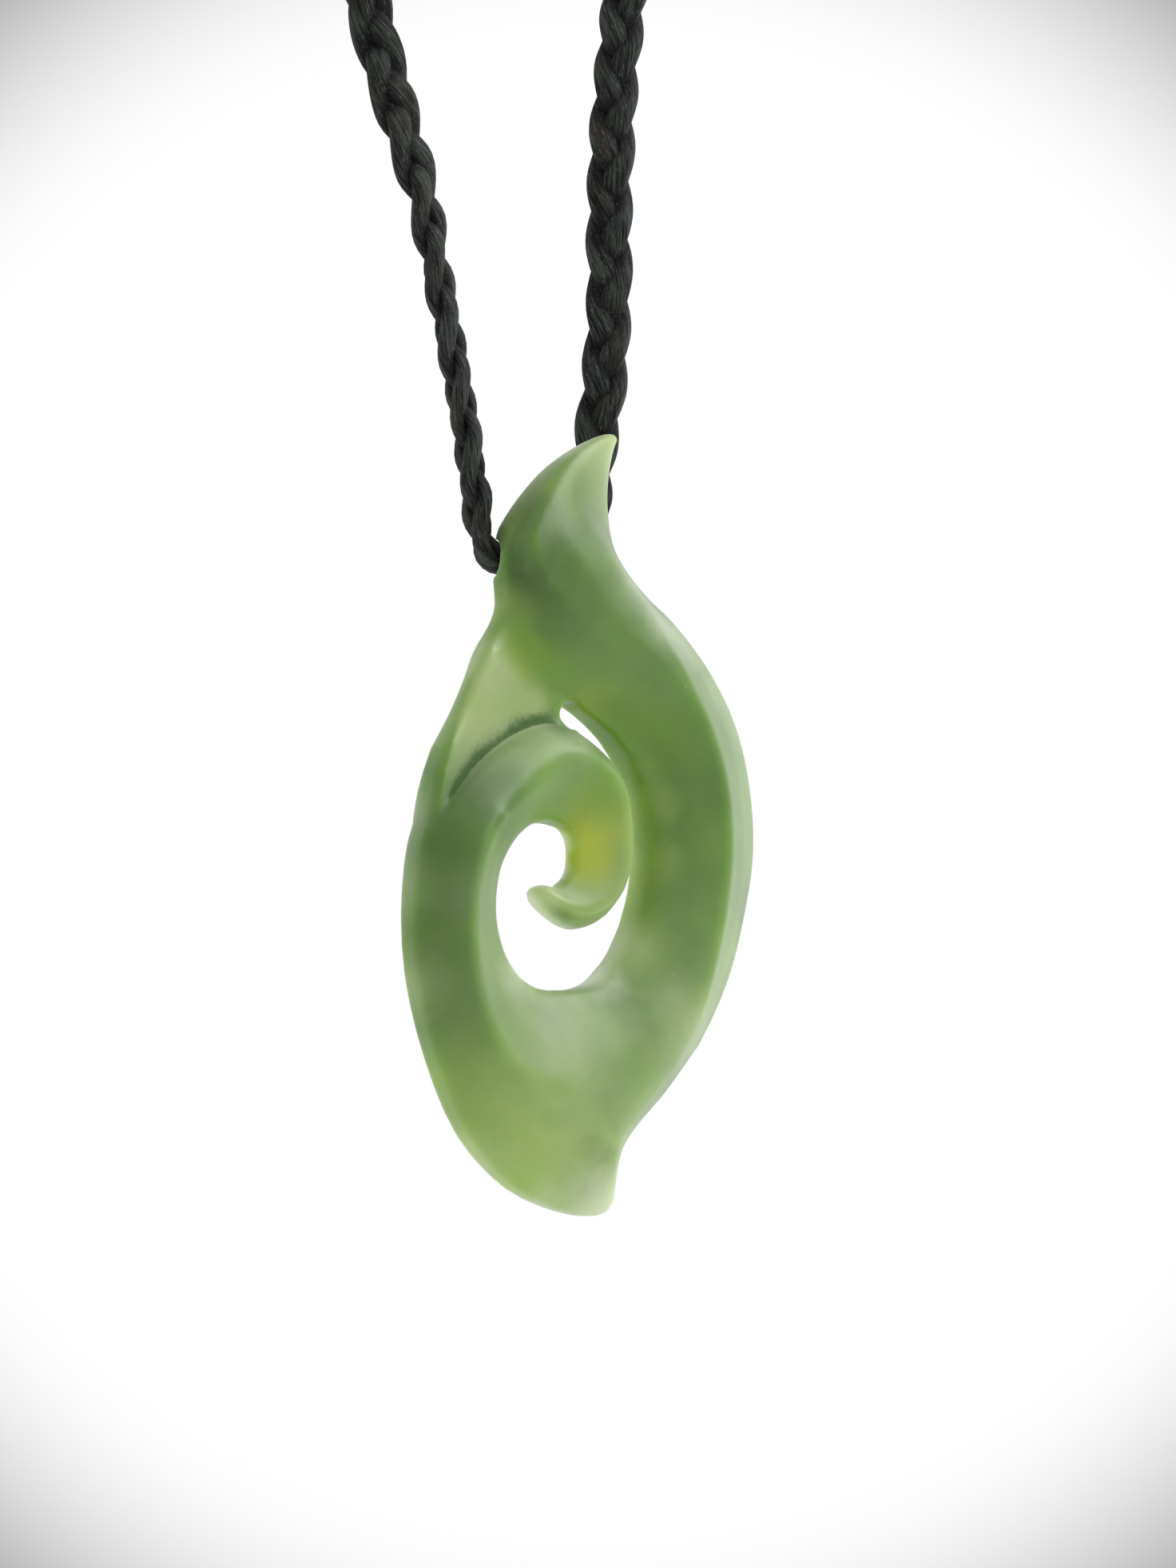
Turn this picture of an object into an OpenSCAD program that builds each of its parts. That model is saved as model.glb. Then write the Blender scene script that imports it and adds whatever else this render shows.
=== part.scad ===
/* [Stone] */
// Height of the stone from the end of the tail to the top tip
stone_h = 55.7; // [52:0.1:58]
// Thickness of the stone at the ridge of its bands
ridge_t = 6.8; // [6.4:0.1:7.4]
// Width of the saw cut at its round upper end
slit_d = 2; // [1.6:0.1:2.2]

/* [Bore] */
// Diameter of the bore that crosses the neck
bore_d = 3.1; // [3:0.1:3.2]
// How far the bore lies behind the middle of the neck
bore_back = 1.5; // [1.4:0.1:1.6]

/* [Plait] */
// Diameter of one strand of the plait
strand_d = 0.94; // [0.88:0.02:0.96]
// How far a strand swings to each side of the plait's middle
swing_w = 1.2; // [1.16:0.01:1.24]
// How far a strand swings to the front and the back
swing_t = 0.75; // [0.74:0.01:0.78]
// Number of full turns that a strand makes along the loop
turns = 38; // [37:1:39]
// Size of the plait inside the bore, as a share of its free size
squeeze = 0.82; // [0.78:0.01:0.84]

/* [Loop] */
// Height of the nape above the bore
drop = 218; // [216:1:220]
// Radius of the round top of the loop
loop_r = 43; // [42:0.5:44]

/* [Join] */
// Diameter of the sleeve at the nape
join_d = 5.6; // [5.2:0.1:6.5]
// Length of the sleeve
join_l = 12; // [11:0.5:16]
// Depth of the socket at each end of the sleeve
socket_l = 4; // [3:0.5:5]

/* [Hidden] */

stone_green = [0.42, 0.56, 0.31];
cord_black = [0.09, 0.09, 0.09];

// Drawn sizes that the tables below were made for
table_h = 55.7;
table_ridge = 3.4;

// Sections of the band, one for each step along the spiral. All lengths are from the middle of the bore.
// out_x, out_z: convex edge. in_x, in_z: concave edge. ridge: share of the way from the convex edge.
// high: half thickness at the ridge. soft: half width of the ridge's rounding, as a share.
// out_t, in_t: half thickness at the convex and the concave edge.
band_rows = [
    [  6.4,   9.1,   5.9,   9.5, 0.50, 0.5, 0.20, 0.45, 0.45],
    [  5.9,   7.9,   4.4,   9.2, 0.80, 1.1, 0.10, 0.60, 0.60],
    [  5.4,   6.1,   1.7,   8.0, 0.86, 1.7, 0.10, 0.80, 0.80],
    [  5.0,   4.3,  -1.6,   5.7, 0.82, 2.4, 0.13, 1.00, 1.00],
    [  4.8,   2.4,  -4.0,   3.0, 0.72, 3.1, 0.22, 1.20, 1.10],
    [  5.1,   0.4,  -5.3,   0.0, 0.60, 3.6, 0.32, 1.20, 1.10],
    [  7.0,  -1.9,  -5.4,  -3.2, 0.50, 3.6, 0.28, 1.20, 1.10],
    [ 10.1,  -4.5,  -6.4,  -6.2, 0.43, 3.6, 0.17, 1.20, 1.00],
    [ 13.0,  -7.9,  -4.6,  -9.0, 0.36, 3.5, 0.08, 1.20, 0.90],
    [ 15.0, -12.0,   0.3, -10.7, 0.37, 3.4, 0.02, 1.20, 0.90],
    [ 15.7, -16.6,   4.1, -13.9, 0.42, 3.4, 0.02, 1.20, 1.40],
    [ 15.4, -21.0,   5.5, -18.9, 0.45, 3.4, 0.02, 1.20, 1.80],
    [ 14.1, -25.2,   4.8, -23.3, 0.44, 3.4, 0.03, 1.20, 2.00],
    [ 12.0, -29.9,   3.0, -26.7, 0.40, 3.4, 0.04, 1.20, 1.90],
    [  8.9, -34.3,   0.6, -29.1, 0.37, 3.4, 0.12, 1.20, 1.60],
    [  5.1, -38.2,  -1.4, -30.2, 0.36, 3.4, 0.15, 1.10, 1.50],
    [  1.7, -41.0,  -2.8, -30.5, 0.36, 3.4, 0.18, 1.00, 1.50],
    [ -0.2, -43.4,  -3.5, -30.6, 0.40, 3.4, 0.20, 0.90, 1.50],
    [ -0.4, -45.5,  -4.0, -30.6, 0.45, 3.4, 0.20, 0.80, 1.50],
    [ -1.8, -46.2,  -4.5, -30.6, 0.49, 3.4, 0.14, 0.90, 1.50],
    [ -4.8, -45.8,  -5.2, -30.6, 0.51, 3.4, 0.06, 1.00, 1.50],
    [ -8.9, -44.1,  -6.2, -30.4, 0.48, 3.4, 0.03, 1.20, 1.50],
    [-12.6, -40.5,  -7.5, -29.6, 0.44, 3.4, 0.03, 1.30, 1.50],
    [-14.9, -35.1,  -8.6, -27.9, 0.41, 3.4, 0.03, 1.30, 1.50],
    [-16.0, -29.2,  -9.0, -25.4, 0.46, 3.4, 0.04, 1.40, 1.50],
    [-15.6, -23.4,  -8.4, -22.6, 0.51, 3.4, 0.04, 1.50, 1.50],
    [-14.0, -18.6,  -7.1, -20.6, 0.54, 3.3, 0.06, 1.70, 1.50],
    [-10.8, -15.4,  -5.5, -19.3, 0.57, 3.1, 0.08, 1.70, 1.40],
    [ -7.0, -13.1,  -3.8, -18.8, 0.50, 2.9, 0.10, 1.70, 1.20],
    [ -3.0, -11.9,  -2.4, -18.9, 0.38, 2.7, 0.08, 1.60, 1.00],
    [  0.9, -12.8,  -1.4, -19.5, 0.29, 2.4, 0.06, 1.50, 0.90],
    [  3.6, -15.6,  -1.4, -20.7, 0.24, 2.1, 0.06, 1.50, 0.80],
    [  4.2, -19.2,  -1.5, -21.7, 0.24, 1.9, 0.06, 1.40, 0.80],
    [  3.5, -22.7,  -1.9, -22.5, 0.24, 1.8, 0.06, 1.40, 0.80],
    [  1.3, -25.3,  -2.6, -23.2, 0.30, 1.7, 0.12, 1.20, 0.80],
    [ -1.6, -26.3,  -3.2, -23.4, 0.42, 1.6, 0.16, 1.00, 0.80],
    [ -4.1, -25.1,  -4.1, -23.2, 0.50, 1.3, 0.20, 0.80, 0.70],
    [ -5.0, -23.9,  -4.8, -23.3, 0.50, 0.7, 0.20, 0.50, 0.50],
];
band_steps = 3;

// Sections of the web, from the neck down to the left side. left: outer edge. right: inside the band.
// rim: half thickness of the low rim along the outer edge. floor: half thickness of the scooped part.
web_rows = [
    [ -5.3,  -2.9,  -3.2,  -4.2, 0.9, 0.9],
    [ -6.1,  -4.3,  -3.2,  -5.6, 1.0, 1.0],
    [ -7.5,  -6.4,  -3.2,  -7.4, 1.2, 1.1],
    [ -9.4,  -9.2,  -2.0,  -9.4, 1.3, 1.0],
    [-11.2, -12.1,   0.3, -11.2, 1.3, 0.8],
    [-12.9, -15.3,  -2.0, -13.8, 1.4, 1.1],
    [-13.9, -18.2,  -8.0, -17.0, 1.5, 1.3],
    [-14.6, -21.0, -11.5, -19.5, 1.2, 1.0],
];
web_steps = 2;

// Middle of the slit's round upper end
slit_end = [-0.5, -11.25];

// Route of the plait below the round top, on the left and on the right, from the bore upwards
left_route = [
    [-2.4, 1.5, 0], [-4.2, 1.5, 0.1], [-5.1, 1.6, 0.8], [-5.4, 1.7, 2.4], [-5.5, 1.7, 4.6], [-5.9, 1.6, 9],
    [-6.6, 1.4, 14], [-7.6, 1.2, 20], [-8.4, 1.2, 26], [-9.8, 1.2, 31], [-11, 1.2, 35.5], [-12.2, 1.1, 41],
    [-15, 0.7, 53], [-20.5, 0.2, 76], [-27, 0, 103], [-33.5, 0, 130], [-39, 0, 153],
];
right_route = [
    [2.6, 1.5, 0], [4.3, 1.7, 0.1], [5.3, 2.3, 0.8], [5.7, 2.9, 2.4], [6.1, 3.2, 5], [7, 3.2, 9],
    [8.1, 2.7, 14], [8.9, 2.3, 20], [9.2, 1.8, 26], [9.8, 1.4, 32], [10.8, 1.2, 37.5], [12.4, 1.1, 44],
    [15.6, 0.6, 56], [20.6, 0.2, 77], [27, 0, 103], [33.5, 0, 130], [39, 0, 153],
];

// Sides of a strand, rings along one of its turns, and steps between two points of the route
plait_sides = 5;
plait_rings = 9;
route_steps = 8;
// Share of the strand's second wave that makes its crossings tighter
cross_wave = 0.15;
// Half of the stretch of route that its direction is taken from
way_step = 0.8;
// Turn between two points of the round top, in degrees
arc_step = 15;

// Bore of the sleeve's sockets, and how far short of a socket's floor the plait ends
socket_d = 3.5;
end_gap = 0.6;

// Edges of a band: what is left of the half thickness at the very edge, and how far in it is full
outer_left = 0.5;
outer_in = 0.5;
inner_left = 0.7;
inner_in = 0.3;
// Height of a slope's middle, and the drop to both sides of a soft ridge, as shares of the rise
slope_swell = 0.55;
ridge_drop = 0.7;
// The back's ridge is never past the middle and never softer than this
back_ridge = 0.5;
back_soft = 0.12;

// Web: share of the rim's height left at the very edge, how far in the rim, the slope and the floor lie, and
// how much of the rim's height is left at the slope
web_edge = 0.5;
web_in = [0.4, 1.3, 3.0];
web_in_most = [0.2, 0.45, 0.7];
web_sag = 0.35;

// Lengths of the cutters for the bore and the slit
bore_cut_l = 40;
slit_cut_l = 20;

top_half = join_l / 2;
bore_z = join_d / 2 - drop;
stone_scale = stone_h / table_h;
ridge_scale = ridge_t / 2 / table_ridge;

// A smooth curve through a list of rows, at row number u
function curve(a, b, c, d, t) =
    0.5 * (2 * b + (c - a) * t + (2 * a - 5 * b + 4 * c - d) * t * t + (3 * b - a - 3 * c + d) * t * t * t);
function row_at(rows, u) =
    let (last = len(rows) - 1, i = min(floor(u), last - 1))
    curve(rows[max(i - 1, 0)], rows[i], rows[i + 1], rows[min(i + 2, last)], u - i);
function rows_between(rows, steps) =
    [for (k = [0 : (len(rows) - 1) * steps]) row_at(rows, k / steps)];

// Walls of a loft: rings of equal length, closed by a cap at each end
function loft_faces(rings, n) = concat(
    [[for (j = [0 : n - 1]) j]],
    [for (i = [0 : rings - 2], j = [0 : n - 1]) let (k = (j + 1) % n)
        [i * n + j, (i + 1) * n + j, (i + 1) * n + k, i * n + k]],
    [[for (j = [n - 1 : -1 : 0]) (rings - 1) * n + j]]
);
module loft(rings) {
    points = [for (r = rings) each r];
    polyhedron(points = points, faces = loft_faces(len(rings), len(rings[0])), convexity = 8);
}

// Places a face's points [share of the way from o to c, height] on the front or the back of the stone
function face_points(face, o, c, side) =
    [for (p = face) let (q = o + (c - o) * p[0]) [q[0], side * p[1], q[1]]];
function backwards(points) = [for (j = [len(points) - 1 : -1 : 0]) points[j]];

// One face of a band's section, from the convex edge to the concave one
function band_face(width, ridge, high, soft, out_t, in_t) =
    let (
        near = ridge - soft, far = ridge + soft,
        out_e = min(outer_in * out_t / width, near / 2), in_e = min(inner_in * in_t / width, (1 - far) / 2),
        near_h = high - (high - out_t) * soft * ridge_drop, far_h = high - (high - in_t) * soft * ridge_drop
    )
    [
        [0, outer_left * out_t],
        [out_e, out_t],
        [(out_e + near) / 2, out_t + (near_h - out_t) * slope_swell],
        [near, near_h],
        [ridge, high],
        [far, far_h],
        [(far + 1 - in_e) / 2, in_t + (far_h - in_t) * slope_swell],
        [1 - in_e, in_t],
        [1, inner_left * in_t],
    ];

// Whole section of the band: the front face across, then the back face on the way back
function band_ring(row) =
    let (
        o = [row[0], row[1]], c = [row[2], row[3]], width = norm(c - o), high = row[5] * ridge_scale,
        front = band_face(width, row[4], high, row[6], row[7], row[8]),
        back = band_face(width, min(row[4], back_ridge), high, min(row[6], back_soft), row[7], row[8])
    )
    concat(face_points(front, o, c, -1), backwards(face_points(back, o, c, 1)));

// Section of the web: a blunt outer edge, the rim just inside it, then the scoop down to the floor
function web_ring(row) =
    let (
        o = [row[0], row[1]], c = [row[2], row[3]], width = norm(c - o), rim = row[4], low = row[5],
        share = [for (k = [0 : 2]) min(web_in[k] / width, web_in_most[k])],
        face = [
            [0, web_edge * rim], [share[0], rim], [share[1], low + (rim - low) * web_sag], [share[2], low], [1, low],
        ]
    )
    concat(face_points(face, o, c, 1), backwards(face_points(face, o, c, -1)));

module stone() {
    color(stone_green)
    translate([0, 0, bore_z])
    difference() {
        resize([0, 0, stone_h])
        union() {
            loft([for (r = rows_between(band_rows, band_steps)) band_ring(r)]);
            loft([for (r = rows_between(web_rows, web_steps)) web_ring(r)]);
        }
        translate([0, bore_back, 0]) rotate([0, 90, 0])
            cylinder(h = bore_cut_l, d = bore_d, center = true, $fn = 48);
        translate([slit_end[0], 0, slit_end[1] * stone_scale]) rotate([90, 0, 0])
            cylinder(h = slit_cut_l, d = slit_d, center = true, $fn = 48);
    }
}

// Whole route of the plait, from the left end at the nape down through the bore and up to the right end
arc_r = loop_r - top_half;
arc_z = drop - arc_r;
end_x = top_half - socket_l + end_gap;
right_arc = [for (a = [0 : arc_step : 89]) [top_half + arc_r * cos(a), 0, arc_z + arc_r * sin(a)]];
left_arc = [for (p = right_arc) [-p[0], p[1], p[2]]];
right_side = concat(right_route, right_arc, [[top_half, 0, drop], [end_x, 0, drop]]);
left_side = concat(left_route, left_arc, [[-top_half, 0, drop], [-end_x, 0, drop]]);
route = concat(backwards(left_side), right_side);

// Length along the route at each of its points, and the route's place at any length
route_fine = rows_between(route, route_steps);
last_fine = len(route_fine) - 1;
route_at = [
    for (
        i = 0, s = 0; i <= last_fine;
        s = s + norm(route_fine[min(i + 1, last_fine)] - route_fine[i]), i = i + 1
    ) s
];
cord_l = route_at[last_fine];
along = [for (axis = [0 : 2]) [for (i = [0 : last_fine]) [route_at[i], route_fine[i][axis]]]];
function place(s) = [for (axis = [0 : 2]) lookup(s, along[axis])];
function unit(v) = v / norm(v);
function way(s) = unit(place(min(s + way_step, cord_l)) - place(max(s - way_step, 0)));

// Length along the route at the middle of the bore, and at point n of the left and of the right side
bore_s = route_at[len(left_side) * route_steps - route_steps / 2];
function left_s(n) = route_at[(len(left_side) - 1 - n) * route_steps];
function right_s(n) = route_at[(len(left_side) + n) * route_steps];

// Turn of the plait's wide side about the route, in degrees, by length along it
roll_at = [
    [0, 270], [left_s(15), 270], [left_s(13), 262], [left_s(12), 238], [left_s(11), 220], [left_s(10), 205],
    [left_s(9), 182], [left_s(8), 160], [left_s(7), 142], [left_s(5), 128], [left_s(3), 112], [left_s(1), 92],
    [bore_s, 90],
    [right_s(1), 92], [right_s(3), 116], [right_s(5), 138], [right_s(11), 138], [right_s(13), 112],
    [right_s(15), 92], [cord_l, 90],
];

// Size of the plait by length along it: it is pulled smaller inside the bore and inside the two sockets
size_at = [
    [0, squeeze], [socket_l, squeeze], [1.75 * socket_l, 1],
    [left_s(4), 1], [left_s(2), squeeze], [right_s(2), squeeze], [right_s(4), 1],
    [cord_l - 1.75 * socket_l, 1], [cord_l - socket_l, squeeze], [cord_l, squeeze],
];

// Middle of a strand at length s, where shift is its place in the plait's turn
function wide_way(s) =
    let (t = way(s), b = unit([0, 1, 0] - t * t[1]), a = cross(b, t), roll = lookup(s, roll_at))
    a * cos(roll) + b * sin(roll);
function strand_mid(s, shift) =
    let (
        w = wide_way(s), n = cross(way(s), w), size = lookup(s, size_at),
        angle = 360 * turns * s / cord_l + shift
    )
    place(s) + w * swing_w * size * sin(angle)
        + n * swing_t * size * (sin(2 * angle) + cross_wave * sin(4 * angle));

// Ring of a strand's wall, square to the strand's own direction
function strand_ring(s, shift) =
    let (
        step = cord_l / turns / 40, mid = strand_mid(s, shift),
        t = unit(strand_mid(min(s + step, cord_l), shift) - strand_mid(max(s - step, 0), shift)),
        w = wide_way(s), u = unit(w - t * (w * t)), v = cross(t, u),
        r = strand_d / 2 * lookup(s, size_at)
    )
    [for (j = [0 : plait_sides - 1]) let (a = 360 * j / plait_sides) mid + (u * cos(a) + v * sin(a)) * r];

module strand(number) {
    rings = turns * plait_rings;
    color(cord_black)
    translate([0, 0, bore_z])
    loft([for (i = [0 : rings]) strand_ring(cord_l * i / rings, 120 * number)]);
}

module strand_a() { strand(0); }
module strand_b() { strand(1); }
module strand_c() { strand(2); }

// The sleeve lies along X with the origin on its underside, and a blind socket at each end takes the plait
module cord_join() {
    color(cord_black)
    translate([0, 0, join_d / 2]) rotate([0, 90, 0])
    difference() {
        cylinder(h = join_l, d = join_d, center = true, $fn = 48);
        for (side = [-1, 1])
            translate([0, 0, side * top_half])
                cylinder(h = 2 * socket_l, d = socket_d, center = true, $fn = 48);
    }
}

stone();
strand_a();
strand_b();
strand_c();
cord_join();
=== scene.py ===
import math
import random

import bmesh
import bpy
import numpy as np
from mathutils import Matrix, Vector
from mathutils.bvhtree import BVHTree


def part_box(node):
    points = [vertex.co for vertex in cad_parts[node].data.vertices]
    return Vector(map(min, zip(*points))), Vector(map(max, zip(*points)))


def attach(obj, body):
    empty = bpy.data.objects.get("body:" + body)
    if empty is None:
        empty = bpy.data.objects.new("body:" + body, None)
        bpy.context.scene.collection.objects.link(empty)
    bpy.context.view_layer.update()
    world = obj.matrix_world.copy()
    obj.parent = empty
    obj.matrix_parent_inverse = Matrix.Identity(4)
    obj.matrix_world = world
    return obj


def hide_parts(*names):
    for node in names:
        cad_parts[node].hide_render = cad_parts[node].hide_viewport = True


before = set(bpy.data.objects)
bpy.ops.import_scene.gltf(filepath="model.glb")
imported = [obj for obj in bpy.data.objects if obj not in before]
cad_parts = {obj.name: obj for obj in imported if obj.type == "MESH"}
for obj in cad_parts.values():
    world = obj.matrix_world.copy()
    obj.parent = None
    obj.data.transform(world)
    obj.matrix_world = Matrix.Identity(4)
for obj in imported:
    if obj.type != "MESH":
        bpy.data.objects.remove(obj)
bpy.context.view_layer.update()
mm = 0.001
mergeWithin = 0.001 * mm
# middle of the stone's bore, which the plait, the camera and the clouds start from
bore = Vector((0, 1.5, -215.2)) * mm
print("frame loaded")


# camera

camera = {
    "azimuth": -40,            # degrees, from the left of the front
    "elevation": -8,
    "roll": 5,
    "distance": 0.33,
    "pixelsPerMetre": 17700,   # at the aim
    "aim": bore - Vector((0, 0.3, 0)) * mm,
    "aimPixel": (684, 705),    # where the photograph has it
    "imageSize": (1472, 1962),
    "sensor": 36,
    "nearest": 0.01,
    "farthest": 20,
}


def makeCamera(c):
    azimuth, elevation, roll = (math.radians(c[k]) for k in ("azimuth", "elevation", "roll"))
    flat = math.cos(elevation)
    back = Vector((math.sin(azimuth) * flat, -math.cos(azimuth) * flat, math.sin(elevation)))
    level = Vector((math.cos(azimuth), math.sin(azimuth), 0))
    upright = level.cross(-back)
    right = level * math.cos(roll) - upright * math.sin(roll)
    up = upright * math.cos(roll) + level * math.sin(roll)
    focal = c["pixelsPerMetre"] * c["distance"]
    width, height = c["imageSize"]
    across = (c["aimPixel"][0] - width / 2) / focal
    down = (c["aimPixel"][1] - height / 2) / focal
    place = c["aim"] + (back - right * across + up * down) * c["distance"]
    data = bpy.data.cameras.new("pendantCamera")
    data.sensor_width = c["sensor"]
    data.lens = c["sensor"] * focal / height
    data.clip_start = c["nearest"]
    data.clip_end = c["farthest"]
    made = bpy.data.objects.new("pendantCamera", data)
    bpy.context.scene.collection.objects.link(made)
    made.matrix_world = Matrix.Translation(place) @ Matrix((right, up, back)).transposed().to_4x4()
    bpy.context.scene.camera = made
    return right, up, back


viewRight, viewUp, viewBack = makeCamera(camera)
print("camera in place")


# shader maths as expressions on sockets

class Link:
    def __init__(self, tree, socket=None):
        self.tree = tree
        self.socket = socket

    def node(self, kind, settings=None, inputs=None, out=0):
        made = self.tree.nodes.new(kind)
        for name, value in (settings or {}).items():
            setattr(made, name, value)
        for name, value in (inputs or {}).items():
            if isinstance(value, Link):
                self.tree.links.new(value.socket, made.inputs[name])
            else:
                made.inputs[name].default_value = value
        return Link(self.tree, made.outputs[out])

    def maths(self, operation, first, second=0.0):
        return self.node("ShaderNodeMath", {"operation": operation}, {0: first, 1: second})

    def __add__(self, other):
        return self.maths("ADD", self, other)

    def __radd__(self, other):
        return self.maths("ADD", other, self)

    def __sub__(self, other):
        return self.maths("SUBTRACT", self, other)

    def __rsub__(self, other):
        return self.maths("SUBTRACT", other, self)

    def __mul__(self, other):
        return self.maths("MULTIPLY", self, other)

    def __rmul__(self, other):
        return self.maths("MULTIPLY", other, self)

    def part(self, axis):
        return self.node("ShaderNodeSeparateXYZ", {}, {0: self}, out=axis)

    def between(self, low, high):
        return self.node("ShaderNodeMapRange", {"interpolation_type": "SMOOTHSTEP"},
                         {"Value": self, "From Min": low, "From Max": high})

    def mix(self, first, second):
        pair = {6: first, 7: second}
        inputs = {k: v if isinstance(v, Link) else (*v, 1) for k, v in pair.items()}
        return self.node("ShaderNodeMix", {"data_type": "RGBA"}, {0: self, **inputs}, out=2)

    def noise(self, size, detail=3.0, roughness=0.5, distortion=0.0):
        return self.node("ShaderNodeTexNoise", {}, {"Vector": self, "Scale": 1 / size, "Detail": detail,
                                                    "Roughness": roughness, "Distortion": distortion})

    def bump(self, strength, distance):
        return self.node("ShaderNodeBump", {}, {"Height": self, "Strength": strength, "Distance": distance})


def newMaterial(name, constants):
    material = bpy.data.materials.new(name)
    material.use_nodes = True
    shader = material.node_tree.nodes["Principled BSDF"]
    for socket, value in constants.items():
        shader.inputs[socket].default_value = value
    return material, Link(material.node_tree), shader


def feed(shader, name, link):
    link.tree.links.new(link.socket, shader.inputs[name])


def colour(hexText):
    channels = [int(hexText[k:k + 2], 16) / 255 for k in (0, 2, 4)]
    return tuple(c / 12.92 if c <= 0.04045 else ((c + 0.055) / 1.055) ** 2.4 for c in channels)


def addPiece(name, mesh, material, slot, *replaced):
    piece = bpy.data.objects.new(name, mesh)
    bpy.context.scene.collection.objects.link(piece)
    mesh.materials.clear()
    mesh.materials.append(material)
    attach(piece, "root")
    if replaced:
        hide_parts(*replaced)


def meshFrom(bm, name):
    for face in bm.faces:
        face.smooth = True
    mesh = bpy.data.meshes.new(name)
    bm.to_mesh(mesh)
    bm.free()
    return mesh


# carved stone

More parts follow.
